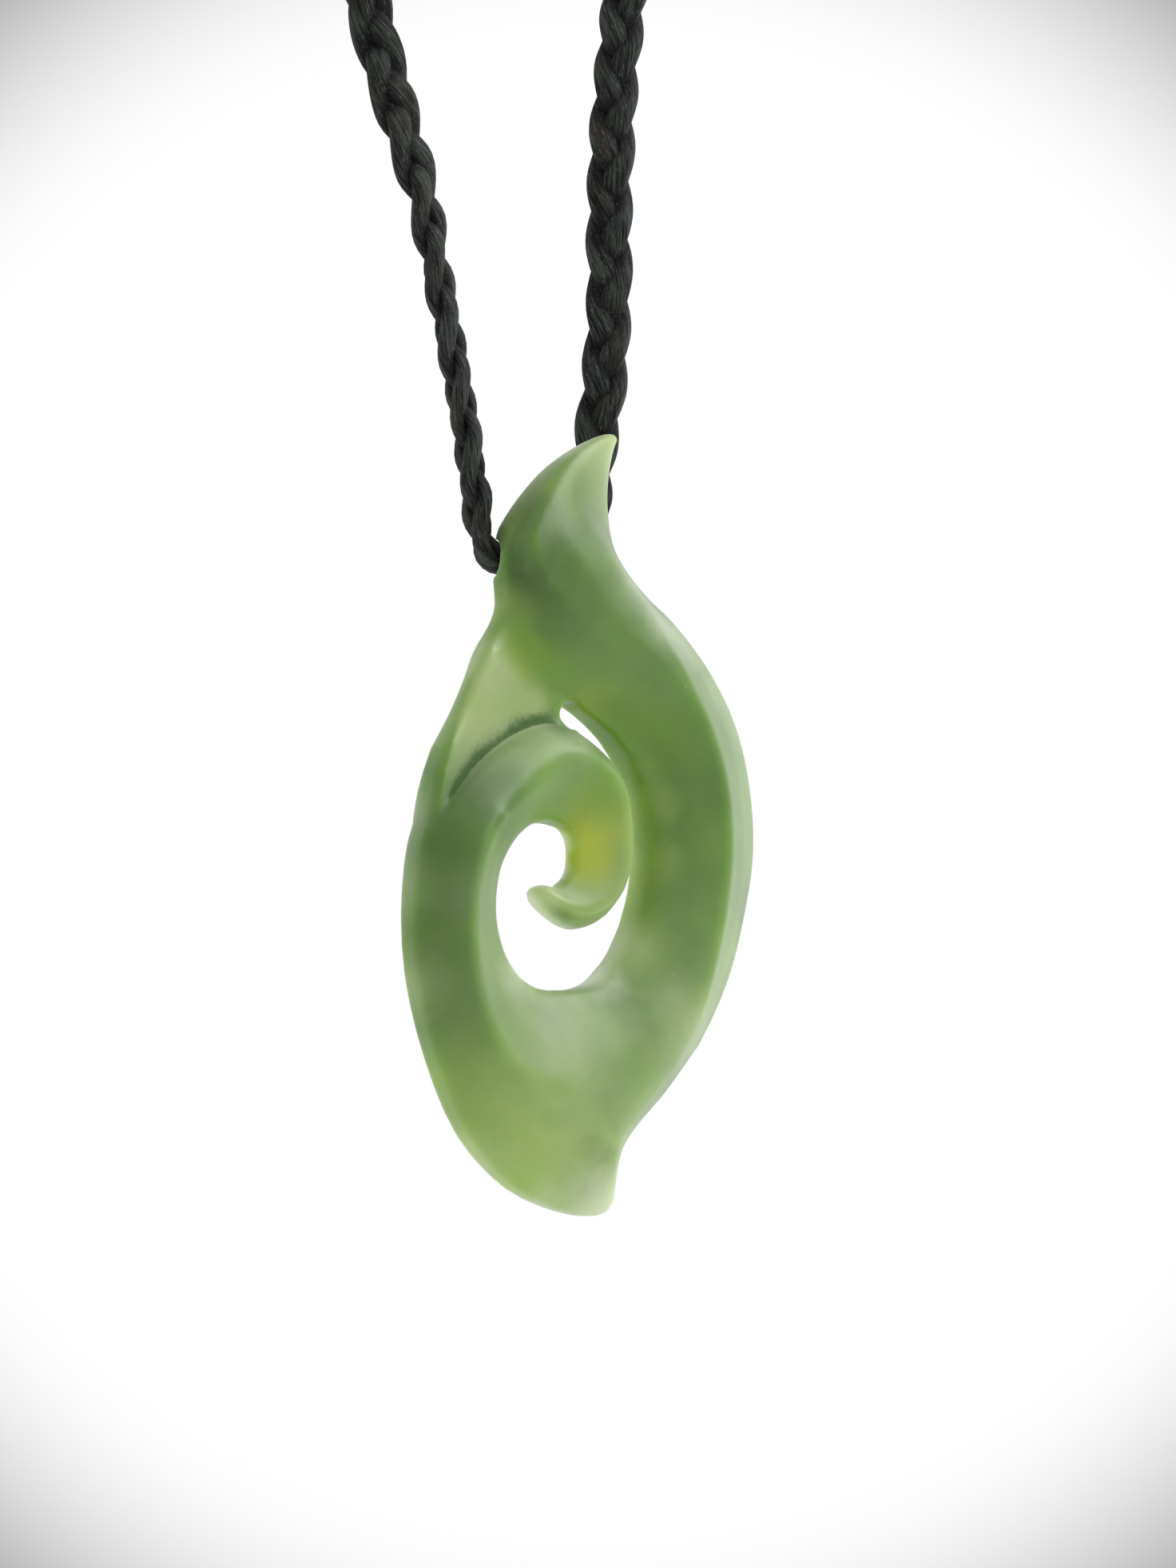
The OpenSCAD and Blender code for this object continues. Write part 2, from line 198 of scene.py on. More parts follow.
stone = {
    "voxel": 0.2,              # mm
    "smoothing": 0.5,
    "polishPasses": 7,
    "softPasses": 220,         # more passes where the carver ran one face into the next
    "placeSteepness": 1.5,
    "crispShare": 0.85,
    # each place is from the bore, then its reach, in mm
    "crispPlaces": [           # the slit and the bore's mouths, which polishing would widen
        (1, 0, -12, 4), (3.5, 0, -15, 4), (4.6, 0, -19, 4), (4, 0, -23, 4), (-5, 0, 0, 3.5), (5, 1, 0, 3.5),
    ],
    "softPlaces": [
        (0, -3, 4, 5), (3, -3, 1, 6), (5, -3, -3, 4), (-4, -2, -6, 3.5), (-9.5, -1.2, -10.5, 4),
        (3, -2, 5, 5), (2, -2.5, 2, 5), (-1.5, -2.5, 4.5, 4), (-0.9, -1, -20.1, 1.8), (-0.9, -1, -22, 1.8),
        (-7.8, -3, -17.6, 2.6), (-5.4, -2.8, -16, 2.6), (-2.8, -2.6, -14.6, 2.6), (0.2, -2.3, -14.7, 2.4),
        (5.4, -1.6, -17.8, 3), (5.4, -1.6, -20.6, 3), (5, -1.8, -23.5, 3), (3.9, -1.8, -25.8, 3),
        (2.2, -1.6, -28, 3), (-0.5, -1.6, -30.3, 3), (-3, -3, -36, 6), (1.5, -3, -35, 7), (1, -2.5, -39, 6),
    ],
    "thickest": 8,             # mm of stone past which no more light is lost
    "probes": 4, "probeTilt": 0.5, "probeStart": 0.02,
    "depthBlur": 10, "hollowBlur": 40,
    # how far up the arch's side of the groove faces, and how far down the neck's side of the web
    "archSide": 0.4, "archBlend": 0.2, "neckSide": -0.1, "neckBlend": 0.12,
    # besides the stone's clouds and flecks, these tones paint light: paler ones as glow through thin stone,
    # haze of sheen and light on faces turned from the lamps, darker ones also as shade
    "deep": "527A28", "light": "7CA145", "thin": "A3B374", "bright": "A6C262", "yellow": "B8C42C",
    "amber": "C4B41C", "pale": "BAC69A", "grooveShade": "38640C", "paintedHaze": "D8DEC8", "leaf": "6E9C0E",
    "sage": "7C9268", "dark": "2F4A16",
    "patches": [               # mm from the bore, reach in mm, strength, tone; they paint the stone's own tone and also painted light, shade, haze and glow
        # the stone's own darker and lighter tones, with painted light on the arch's upward slope and on the
        # walls of the slit and the hole, and a painted glow on the thin curl, which is partly its own yellow
        (-2, -3, -2.5, 7, 0.8, "deep"), (-4.4, -2, 0, 4, 0.9, "deep"), (0.5, -3.4, -2, 6, 0.5, "deep"),
        (4.3, -3.3, -3.8, 5, 0.4, "deep"), (6, -3.4, -8, 7, 0.7, "deep"), (3.5, -1.5, 3.5, 5, 0.6, "deep"),
        (-2, -3.1, 2.7, 4, 0.5, "deep"), (-3, -1, 4.5, 4.5, 0.7, "light"), (1, -1.5, 8.5, 5, 0.3, "pale"),
        (-13.5, -2, -20.5, 7, 0.9, "deep"), (-9.7, -2.5, -17.2, 5.5, 0.9, "deep"),
        (9, -2.6, -15, 9, 0.6, "deep"), (7.6, -2.9, -23.4, 7, 0.6, "deep"),
        (-1.8, -2, -16.3, 4, 0.8, "deep"), (-4.7, -2.8, -7.2, 2.5, 0.4, "yellow"),
        (0.7, -2.6, -10.4, 3, 0.5, "yellow"), (-2.5, -1, -9.3, 2, 0.4, "pale"),
        (-9.9, -1.6, -15.2, 3.5, 0.3, "pale"), (-7.4, -1.6, -14, 3.5, 0.3, "pale"),
        (-4.6, -1.8, -13.2, 3.5, 0.3, "pale"), (-1.8, -2.2, -13.4, 3, 0.35, "paintedHaze"),
        (-0.7, -2.4, -14.4, 2, 0.3, "paintedHaze"), (4.6, -1.2, -14, 3, 0.5, "bright"),
        (-9.8, -0.5, -11.5, 5, 0.4, "thin"), (-8.3, -0.5, -7.4, 4.5, 0.7, "pale"),
        (-6, -0.5, -3.5, 3.5, 0.3, "thin"), (5.3, 0, -17, 5, 0.9, "bright"),
        (5.3, 0, -22, 5, 0.9, "bright"), (3.6, -1.2, -28.6, 5, 0.9, "bright"),
        (-12.5, -2.4, -36.5, 9, 0.8, "light"), (-12, -2, -38, 7, 0.6, "bright"),
        (-8.5, -1.8, -42, 9, 0.9, "bright"), (-9.5, -1.2, -27, 7, 0.2, "pale"),
        (-3, -3, -38, 7, 0.3, "pale"), (8.5, -2.6, -32.5, 7, 0.35, "pale"),
        (3.2, -3.3, -35.5, 4, 0.4, "pale"), (-15.7, -1, -29.6, 4, 0.5, "pale"),
        (-11.3, -0.7, -42.1, 4, 0.5, "pale"), (-2, -1.4, -44.5, 6, 0.9, "pale"),
        (-6, -2.4, -33, 6, 0.5, "pale"), (-4.5, -0.9, -24.2, 2.8, 1, "paintedHaze"), (5, -3, -31, 7, 0.6, "light"),
        (-0.4, -1.3, -19.5, 5, 0.9, "yellow"), (-0.7, -1.4, -18.4, 2, 0.5, "amber"),
        (-0.2, -1.1, -22, 1.8, 0.6, "amber"),
        # tip, neck and the arch's shadow: painted shade on faces the lamps light too brightly and under the
        # arch, painted light on faces turned from them
        (-1.5, -1.9, 5.4, 3.5, 0.5, "bright"), (-4, -2, 2.3, 3, 0.4, "bright"),
        (-2.8, -3.1, 2.1, 3, 0.8, "deep"), (1.4, -2.4, 2.8, 4.5, 0.6, "dark"),
        (4.4, -1.2, 1.2, 4, 0.5, "dark"), (-3, -3, -0.6, 4, 0.4, "dark"),
        (-4.6, -1.6, -4.6, 3, 0.5, "bright"), (-3.8, -1, 3, 2.5, 0.5, "bright"),
        (-5, -0.8, -11.5, 3.5, 0.3, "light"), (3.6, -1.4, 3.4, 3, 0.6, "leaf"),
        (-9.9, -3, -18.3, 3.5, 0.5, "deep"), (-4.2, -2.2, -17, 3, 0.7, "deep"),
        (6.4, -3, -28.2, 3.5, 0.5, "deep"),
        # yellowish seams beside the web, the slit and the curl, painted lighter as a glow of light through
        # the thin stone there
        (-5.4, -2.7, -6.3, 2.5, 0.68, "leaf"), (-3.4, -3, -7.8, 3, 0.77, "leaf"),
        (-1.8, -2.7, -9.4, 2.5, 0.77, "leaf"), (3.4, -1.7, -11, 4, 0.8, "leaf"),
        (6, -2.6, -12, 6, 0.6, "leaf"), (-3.4, -1.5, -17.6, 4, 1, "leaf"),
        (0.9, -2.4, -8.4, 5, 0.6, "leaf"), (-1.4, -2.8, -24.1, 2, 0.35, "leaf"),
        (-0.3, -2.8, -21.8, 2.6, 0.6, "yellow"), (0.4, -3.5, -16.8, 3.5, 0.68, "leaf"),
        (0.5, -2.4, 3.8, 4, 0.4, "leaf"), (-2.9, -1.7, -44, 2.5, 0.5, "light"),
        (6.7, -3.8, -19, 3, 0.51, "deep"), (0.2, -4, -7.9, 3, 0.26, "deep"),
        (5, -4.6, -31, 3, 0.26, "deep"), (-15.8, -2.4, -27.9, 3, 0.34, "deep"),
        (-1.9, -2.3, -11.9, 2.2, 0.85, "deep"), (9, -3, -20, 6, 0.2, "leaf"),
        (-4, -2.4, -41.5, 4, 0.4, "bright"),
        # painted haze of sheen on the thin edges, and painted light beside the ridges and on the walls of the
        # slit and the hole
        (4.2, -2.7, -2.4, 3.5, 0.6, "paintedHaze"), (6.5, -3.1, -5.2, 3.5, 0.5, "paintedHaze"),
        (8.8, -2.4, -6.5, 3.5, 0.4, "paintedHaze"), (11.5, -2, -9.5, 3.5, 0.2, "paintedHaze"),
        (13.8, -1.4, -12, 3.5, 0.2, "paintedHaze"), (-14, 0.8, -18.5, 4.5, 0.45, "paintedHaze"),
        (-15.8, 0.2, -23, 4.5, 0.3, "paintedHaze"), (-10.9, -0.9, -11.9, 3, 0.1, "paintedHaze"),
        (-2, -1.4, -45, 4, 0.6, "paintedHaze"), (-15.2, -0.9, -33.4, 3, 0.4, "sage"),
        (-13.4, -0.8, -38.5, 3, 0.4, "sage"), (-6.8, -0.8, -44.9, 3, 0.4, "paintedHaze"),
        (-11.8, -3.1, -24.8, 4, 0.7, "sage"), (-11.8, -3.2, -31, 5, 0.4, "sage"),
        (-8.8, -3, -35.8, 4.5, 0.4, "sage"), (-8.8, -1.6, -30, 3.5, 0.6, "paintedHaze"),
        (-1, -0.8, -20.1, 1.8, 0.8, "paintedHaze"), (-1.5, -0.6, -22.3, 1.8, 1, "paintedHaze"),
        (-3.2, -0.8, -25.7, 2.2, 0.7, "paintedHaze"), (-1.9, -1, -25.8, 2, 0.5, "paintedHaze"),
        (-0.1, -1.4, -29.9, 3.2, 0.9, "paintedHaze"), (2.6, -1.3, -27.6, 3.5, 0.9, "pale"),
        (4.5, -1.2, -24.6, 3.2, 0.7, "bright"), (5.4, -1.5, -21.6, 3.2, 0.6, "bright"),
        (6, -1.8, -18, 3, 0.4, "bright"), (10.5, -3.3, -20.3, 3, 0.4, "light"),
        (9.3, -3.4, -26, 3, 0.3, "light"), (5.7, -3.4, -33.2, 4, 0.6, "pale"),
        (9.4, -2.9, -29, 3.5, 0.6, "light"), (1.6, -1, 8.8, 3, 0.6, "paintedHaze"),
        (2.6, -1.7, 4.5, 3, 0.4, "thin"),
    ],
    "patchCore": 0.1,          # share of its reach where a patch is full
    "ragged": 0.4,             # how far a patch's edge strays, as a share of its reach
    "raggedMost": 7,           # mm of reach past which it strays no further
    "cloud": 6, "vein": 2.4, "fleck": 0.45, "brush": 0.35, "grain": 0.12,   # sizes in mm
    "cloudSpan": (0.2, 0.8),
    "thinSpan": (1.8, 5.6),    # mm of stone behind a point, from thin to deep; thin stone is painted paler, as a glow of light shining through
    # hollowness over which the groove's painted shade comes in, its ragged edge and its strength
    "grooveSpan": (0.03, 0.13), "grooveBrush": 0.06, "grooveTone": 0.95,
    "fleckSpan": (0.66, 0.8), "fleckTone": 0.3,
    "roughness": 0.32, "fleckRoughness": 0.12, "grooveRoughness": 0.5,
    "grainStrength": 0.12, "grainDepth": 0.02,
    "ior": 1.6, "glowSpread": (1.0, 1.3, 0.5), "glowDepth": 3,
    "haze": 0.4, "hazeRoughness": 0.5,
}


def blurred(mesh, values, passes):
    ends = np.zeros(len(mesh.edges) * 2, dtype=np.int32)
    mesh.edges.foreach_get("vertices", ends)
    near = np.concatenate([ends[0::2], ends[1::2]])
    far = np.concatenate([ends[1::2], ends[0::2]])
    count = 1 + np.bincount(near, minlength=len(values))
    for _ in range(passes):
        gathered = [np.bincount(near, weights=column[far], minlength=len(values)) for column in values.T]
        values = (values + np.stack(gathered, 1)) / count[:, None]
    return values


def places(mesh, field="co"):
    found = np.zeros(len(mesh.vertices) * 3)
    mesh.vertices.foreach_get(field, found)
    return found.reshape(-1, 3)


def nearness(mesh, named, steepness):
    fromBore = (places(mesh) - np.array(bore)) / mm
    share = np.zeros(len(fromBore))
    for x, y, z, reach in named:
        away = np.linalg.norm(fromBore - np.array((x, y, z)), axis=1) / reach
        share = np.maximum(share, np.clip(steepness * (1 - away), 0, 1))
    return share


def applied(piece):
    bpy.context.view_layer.update()
    mesh = bpy.data.meshes.new_from_object(piece.evaluated_get(bpy.context.evaluated_depsgraph_get()))
    bpy.data.objects.remove(piece)
    return mesh


def carveStone(s):
    bm = bmesh.new()
    bm.from_mesh(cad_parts["stone"].data)
    bmesh.ops.remove_doubles(bm, verts=bm.verts, dist=mergeWithin)
    rough = bpy.data.objects.new("roughStone", meshFrom(bm, "roughStone"))
    bpy.context.scene.collection.objects.link(rough)
    even = rough.modifiers.new("even", "REMESH")
    even.mode = "VOXEL"
    even.voxel_size = s["voxel"] * mm
    even.use_smooth_shade = True
    polished = bpy.data.objects.new("polishedStone", applied(rough))
    bpy.context.scene.collection.objects.link(polished)
    crisp, soft = (nearness(polished.data, s[k], s["placeSteepness"]) for k in ("crispPlaces", "softPlaces"))
    shares = {"polish": 1 - s["crispShare"] * crisp, "soft": soft}
    for name, share in shares.items():
        group = polished.vertex_groups.new(name=name)
        for index in np.nonzero(share)[0]:
            group.add([int(index)], float(share[index]), "REPLACE")
        smooth = polished.modifiers.new(name, "SMOOTH")
        smooth.factor = s["smoothing"]
        smooth.iterations = s[name + "Passes"]
        smooth.vertex_group = name
    return applied(polished)


def markDepth(mesh, s):
    # how much stone lies behind each point, and how hollow the surface is
    # the hollow marks the web's side of the groove, so the arch's side and the neck's seam are left out of it
    # the depth paints thin stone paler, as a glow of light through it; the hollow paints shade into the
    # groove
    tree = BVHTree.FromPolygons([v.co for v in mesh.vertices], [p.vertices for p in mesh.polygons])
    tilts = [Vector((0, 0, 0))]
    for k in range(s["probes"]):
        turn = math.pi / 4 + k * math.pi / 2
        tilts.append(Vector((math.cos(turn), 0, math.sin(turn))) * s["probeTilt"])
    most = s["thickest"] * mm
    depth = np.zeros(len(mesh.vertices))
    for v in mesh.vertices:
        for tilt in tilts:
            way = (tilt - v.normal).normalized()
            hit = tree.ray_cast(v.co + way * s["probeStart"] * mm, way, most)
            depth[v.index] += (most if hit[0] is None else hit[3]) / len(tilts)
    depth = blurred(mesh, depth[:, None], s["depthBlur"])[:, 0]
    at = places(mesh)
    normals = places(mesh, "normal")
    hollow = ((blurred(mesh, at, s["hollowBlur"]) - at) * normals).sum(axis=1)
    arch = np.clip((normals[:, 2] - s["archSide"]) / s["archBlend"], 0, 1)
    neck = np.clip((s["neckSide"] - normals[:, 2]) / s["neckBlend"], 0, 1)
    for name, values in (("stoneDepth", depth), ("stoneHollow", hollow * (1 - arch) * (1 - neck))):
        mesh.attributes.new(name, "FLOAT", "POINT").data.foreach_set("value", values / mm)


def jade(s):
    material, start, shader = newMaterial("satinJade", {
        "IOR": s["ior"],
        "Subsurface Weight": 1.0,
        "Subsurface Radius": s["glowSpread"],
        "Subsurface Scale": s["glowDepth"] * mm,
        "Sheen Weight": s["haze"],
        "Sheen Roughness": s["hazeRoughness"],
    })
    coords = start.node("ShaderNodeTexCoord", out="Object")
    depth = start.node("ShaderNodeAttribute", {"attribute_name": "stoneDepth"}, out="Fac")
    hollow = start.node("ShaderNodeAttribute", {"attribute_name": "stoneHollow"}, out="Fac")
    cloud = coords.noise(s["cloud"] * mm, detail=2, roughness=0.45, distortion=0.3)
    vein = coords.noise(s["vein"] * mm, distortion=0.6)
    fleck = coords.noise(s["fleck"] * mm, roughness=0.6)

    tone = cloud.between(*s["cloudSpan"]).mix(colour(s["deep"]), colour(s["light"]))
    # painted glow: where little stone lies behind a point, it is painted paler, as light shining through
    tone = (1 - depth.between(*s["thinSpan"])).mix(tone, colour(s["thin"]))
    # patches of the stone's own tone and of painted light, shade, haze and glow
    for x, y, z, reach, strength, name in s["patches"]:
        away = start.node("ShaderNodeVectorMath", {"operation": "DISTANCE"},
                          {0: coords, 1: bore + Vector((x, y, z)) * mm}, out="Value")
        ragged = (vein - 0.5) * (min(reach, s["raggedMost"]) * s["ragged"] * mm)
        near = 1 - (away + ragged).between(reach * mm * s["patchCore"], reach * mm)
        tone = (near * strength).mix(tone, colour(s[name]))
    # painted shade: the web's side of the groove beside the arch is painted dark green
    brushed = coords.noise(s["brush"] * mm, roughness=0.6)
    groove = (hollow + (brushed - 0.5) * s["grooveBrush"]).between(*s["grooveSpan"])
    tone = (groove * s["grooveTone"]).mix(tone, colour(s["grooveShade"]))
    tone = (fleck.between(*s["fleckSpan"]) * s["fleckTone"]).mix(tone, colour(s["pale"]))
    feed(shader, "Base Color", tone)
    feed(shader, "Roughness", fleck * s["fleckRoughness"] + groove * s["grooveRoughness"] + s["roughness"])
    grain = coords.noise(s["grain"] * mm, roughness=0.6)
    feed(shader, "Normal", grain.bump(s["grainStrength"], s["grainDepth"] * mm))
    return material


stoneMesh = carveStone(stone)
markDepth(stoneMesh, stone)
addPiece("carvedStone", stoneMesh, jade(stone), "stone", "stone")
print("stone carved:", len(stoneMesh.polygons), "faces")


# plaited cord

plait = {
    "strands": 3,
    "turns": 38,
    "ringsPerTurn": 28,
    "sides": 24,
    "swingWide": 0.8, "swingThick": 0.45,       # mm, how far a strand's middle swings
    "flatCrossing": 0.1,                        # share of a second swing that lays the crossings flat
    "strandWide": 1.86, "strandThick": 1.2,     # mm
    "squeeze": 0.84,                            # size of the plait in the bore and the sleeve
    "taper": 1.75,                              # sockets from an end to where it is full
    "ridges": 7, "ridgeDepth": 0.03, "twist": 0.4,
    "seed": 20, "unevenness": 0.06, "ringsPerKnot": 6,
    "routeLook": 0.8, "strandLook": 0.15,       # mm before and after a point that give its direction
    "nape": 218, "loopRadius": 43, "sleeveHalf": 6, "socket": 4, "endGap": 0.6,   # mm
    "arcStep": 15,                              # degrees
    "curveSteps": 8,
    "leftRoute": [
        (-2.4, 1.5, 0), (-4.2, 1.5, 0.1), (-5.1, 1.6, 0.8), (-5.4, 1.7, 2.4), (-5.5, 1.7, 4.6),
        (-5.9, 1.6, 9), (-6.6, 1.4, 14), (-7.6, 1.2, 20), (-8.4, 1.2, 26), (-9.8, 1.2, 31),
        (-11, 1.2, 35.5), (-12.2, 1.1, 41), (-15, 0.7, 53), (-20.5, 0.2, 76), (-27, 0, 103),
        (-33.5, 0, 130), (-39, 0, 153),
    ],
    "rightRoute": [
        (2.6, 1.5, 0), (4.3, 1.7, 0.1), (5.3, 2.3, 0.8), (5.7, 2.9, 2.4), (6.1, 3.2, 5), (7, 3.2, 9),
        (8.1, 2.7, 14), (8.9, 2.3, 20), (9.2, 1.8, 26), (9.8, 1.4, 32), (10.8, 1.2, 37.5), (12.4, 1.1, 44),
        (15.6, 0.6, 56), (20.6, 0.2, 77), (27, 0, 103), (33.5, 0, 130), (39, 0, 153),
    ],
    # turn of the plait's wide side in degrees, by the number of the route's point
    "leftRoll": {15: 270, 13: 262, 12: 238, 11: 220, 10: 205, 9: 182, 8: 160, 7: 142, 5: 128, 3: 112, 1: 92},
    "rightRoll": {1: 92, 3: 116, 5: 138, 11: 138, 13: 112, 15: 92},
    "boreRoll": 90,
    # the lighter fibre tone is partly wear and partly a painted sheen
    "black": "030404", "wearAndSheen": "474E47", "brown": "3A2C25", "lint": "8C8F88",
    "fibreTwist": 0.35,                         # radians in a mm
    "fineShare": 0.7,                           # of the fine fibres in the worn tone, the rest is broad
    "broadBump": 0.6,                           # height of the broad fibres against the fine ones
    "openSpan": (0.6, 1),                       # of the way out from the plait's middle, from painted shade to lit
    "wearAndSheenSpan": (0.38, 0.66), "wearAndSheenInside": 0.15,
    "brownSpan": (0.52, 0.7), "brownTone": 0.5,
    "lintSpan": (0.6, 0.72), "lintTone": 0.4,
    "roughness": 0.45, "roughnessSpread": 0.3,
    "fibreDepth": 0.12,                         # mm
}


class Route:
    # the plait's way round by length, in millimetres from its left end at the nape
    def __init__(self, p):
        self.look = p["routeLook"]
        steps = p["curveSteps"]
        top = p["nape"]
        half = p["sleeveHalf"]
        radius = p["loopRadius"] - half
        turns = [math.radians(d) for d in range(0, 90, p["arcStep"])]
        arc = [(half + radius * math.cos(a), 0, top - radius + radius * math.sin(a)) for a in turns]
        end = half - p["socket"] + p["endGap"]
        right = p["rightRoute"] + arc + [(half, 0, top), (end, 0, top)]
        left = p["leftRoute"] + [(-x, y, z) for x, y, z in arc] + [(-half, 0, top), (-end, 0, top)]
        points = np.array(left[::-1] + right, float)
        last = len(points) - 1
        fine = []
        for k in range(last * steps + 1):
            i = min(k // steps, last - 1)
            t = k / steps - i
            a, b, c, d = (points[j] for j in (max(i - 1, 0), i, i + 1, min(i + 2, last)))
            bend = (2 * a - 5 * b + 4 * c - d) * t ** 2 + (3 * b - a - 3 * c + d) * t ** 3
            fine.append(0.5 * (2 * b + (c - a) * t + bend))
        self.fine = np.array(fine)
        self.at = np.concatenate([[0], np.cumsum(np.linalg.norm(np.diff(self.fine, axis=0), axis=1))])
        self.length = float(self.at[-1])

        def leftAt(n):
            return self.at[(len(left) - 1 - n) * steps]

        def rightAt(n):
            return self.at[(len(left) + n) * steps]

        rolls = [(leftAt(n), roll) for n, roll in p["leftRoll"].items()]
        rolls += [(self.at[len(left) * steps - steps // 2], p["boreRoll"])]
        rolls += [(rightAt(n), roll) for n, roll in p["rightRoll"].items()]
        self.rolls = np.array(rolls, float)
        small = p["squeeze"]
        deep = p["socket"]
        full = p["taper"] * deep
        self.sizes = np.array([
            (0, small), (deep, small), (full, 1), (leftAt(4), 1), (leftAt(2), small),
            (rightAt(2), small), (rightAt(4), 1), (self.length - full, 1), (self.length - deep, small),
            (self.length, small),
        ], float)

    def place(self, s):
        return Vector([float(np.interp(s, self.at, self.fine[:, k])) for k in range(3)])

    def size(self, s):
        return float(np.interp(s, self.sizes[:, 0], self.sizes[:, 1]))

    def sides(self, s):
        way = (self.place(min(s + self.look, self.length)) - self.place(max(s - self.look, 0))).normalized()
        deep = (Vector((0, 1, 0)) - way * way.y).normalized()
        roll = math.radians(float(np.interp(s, self.rolls[:, 0], self.rolls[:, 1])))
        wide = deep.cross(way) * math.cos(roll) + deep * math.sin(roll)
        return wide, way.cross(wide)


route = Route(plait)
letters = "abc"   # of the strands


def strandMiddle(p, s, number):
    wide, thick = route.sides(s)
    turn = 2 * math.pi * (p["turns"] * s / route.length + number / p["strands"])
    size = route.size(s)
    sway = wide * p["swingWide"] * size * math.sin(turn)
    lift = thick * p["swingThick"] * size * (math.sin(2 * turn) + p["flatCrossing"] * math.sin(4 * turn))
    return route.place(s) + sway + lift


def strandStations(p, number):
    rings = p["turns"] * p["ringsPerTurn"]
    rng = random.Random(p["seed"] + number)
    step = p["ringsPerKnot"]
    knots = [rng.uniform(-1, 1) for _ in range(rings // step + 3)]
    look = p["strandLook"]
    stations = []
    for k in range(rings + 1):
        s = route.length * k / rings
        before = strandMiddle(p, max(s - look, 0), number)
        way = (strandMiddle(p, min(s + look, route.length), number) - before).normalized()
        wide, _ = route.sides(s)
        across = (wide - way * way.dot(wide)).normalized()
        puff = knots[k // step] * (1 - k % step / step) + knots[k // step + 1] * (k % step / step)
        size = route.size(s) * (1 + p["unevenness"] * puff) / 2
        stations.append((s, strandMiddle(p, s, number), across * size, way.cross(across) * size))
    return stations


def openness(p, s, at):
    # 1 on the plait's outside and 0 in its middle
    wide, thick = route.sides(s)
    reach = at - route.place(s)
    size = route.size(s)
    share = reach.dot(wide) / (p["swingWide"] + p["strandWide"] / 2)
    rise = reach.dot(thick) / (p["swingThick"] + p["strandThick"] / 2)
    return math.hypot(share, rise) / size


def makeStrand(p, number):
    # a flat sheet with one row for each side is rolled up round the strand's middle, then its seam is closed
    rings = p["turns"] * p["ringsPerTurn"]
    stations = strandStations(p, number)
    bm = bmesh.new()
    uvMap = bm.loops.layers.uv.new("strandMap")
    openTop = bm.verts.layers.float.new("openTop")
    bmesh.ops.create_grid(bm, x_segments=rings, y_segments=p["sides"], size=0.5)
    for face in bm.faces:
        for loop in face.loops:
            loop[uvMap].uv = ((loop.vert.co.x + 0.5 + number) / p["strands"], loop.vert.co.y + 0.5)
    for v in bm.verts:
        s, middle, across, side = stations[round((v.co.x + 0.5) * rings)]
        turn = 2 * math.pi * (v.co.y + 0.5)
        ridge = 1 + p["ridgeDepth"] * math.cos(p["ridges"] * turn + p["twist"] * s)
        out = across * (p["strandWide"] * math.cos(turn)) + side * (p["strandThick"] * math.sin(turn))
        v[openTop] = openness(p, s, middle + out)
        v.co = (middle + out * ridge) * mm + Vector((0, 0, bore.z))
    bmesh.ops.remove_doubles(bm, verts=bm.verts, dist=mergeWithin)
    bmesh.ops.holes_fill(bm, edges=bm.edges)
    bmesh.ops.recalc_face_normals(bm, faces=bm.faces)
    return meshFrom(bm, "yarn_" + letters[number])


def waxedYarn(p):
    material, start, shader = newMaterial("waxedYarn", {
        "IOR": 1.4,
        "Specular IOR Level": 0.3,
        "Sheen Weight": 0.05,
        "Sheen Roughness": 0.4,
    })
    uv = start.node("ShaderNodeUVMap", {"uv_map": "strandMap"})
    along = uv.part(0) * (p["strands"] * route.length)
    turn = uv.part(1) * (2 * math.pi) + along * p["fibreTwist"]

    def fibres(stretch, shift):
        ring = {"X": turn.maths("COSINE", turn), "Y": turn.maths("SINE", turn), "Z": along * stretch + shift}
        return start.node("ShaderNodeCombineXYZ", {}, ring)

    fine = fibres(stretch=0.12, shift=0).noise(size=0.2, roughness=0.6)
    broad = fibres(stretch=0.3, shift=7).noise(size=0.6)
    patchy = fibres(stretch=0.25, shift=19).noise(size=1.1, detail=2)
    lint = fibres(stretch=0.3, shift=31).noise(size=0.12, detail=2, roughness=0.6)
    # painted shade: towards the plait's middle, in the gaps between the strands, the yarn is painted black
    openTop = start.node("ShaderNodeAttribute", {"attribute_name": "openTop"}, out="Fac")
    outer = openTop.between(*p["openSpan"])
    lit = outer * (1 - p["wearAndSheenInside"]) + p["wearAndSheenInside"]
    # lighter fibres, partly wear and partly a painted sheen on the strands' lit outside
    wearAndSheen = (fine * p["fineShare"] + broad * (1 - p["fineShare"])).between(*p["wearAndSheenSpan"]) * lit
    tone = wearAndSheen.mix(colour(p["black"]), colour(p["wearAndSheen"]))
    tone = (patchy.between(*p["brownSpan"]) * outer * p["brownTone"]).mix(tone, colour(p["brown"]))
    tone = (lint.between(*p["lintSpan"]) * p["lintTone"]).mix(tone, colour(p["lint"]))
    feed(shader, "Base Color", tone)
    feed(shader, "Roughness", broad * p["roughnessSpread"] + p["roughness"])
    feed(shader, "Normal", (fine + broad * p["broadBump"]).bump(1, p["fibreDepth"] * mm))
    return material


yarn = waxedYarn(plait)
for number in range(plait["strands"]):
    letter = letters[number]
    addPiece("plaited_strand_" + letter, makeStrand(plait, number), yarn, "cord", "strand_" + letter)
print("plait of", round(route.length), "mm made")


# whipping over the join at the nape

whipping = {
    "threadRadius": 0.27, "threadSides": 8, "stepsPerTurn": 28, "pitch": 0.56,   # mm
    "threadSeat": 0.6,         # share of its radius that a thread stands off the core
    "coreRadius": 2.42, "mouthRadius": 1.8, "length": 12, "coreSteps": 32,
    "fibre": 0.12, "fibreSpan": (0.4, 0.7), "fibreStrength": 0.5, "fibreDepth": 0.04,
    "roughness": 0.35, "roughnessSpread": 0.3,
}


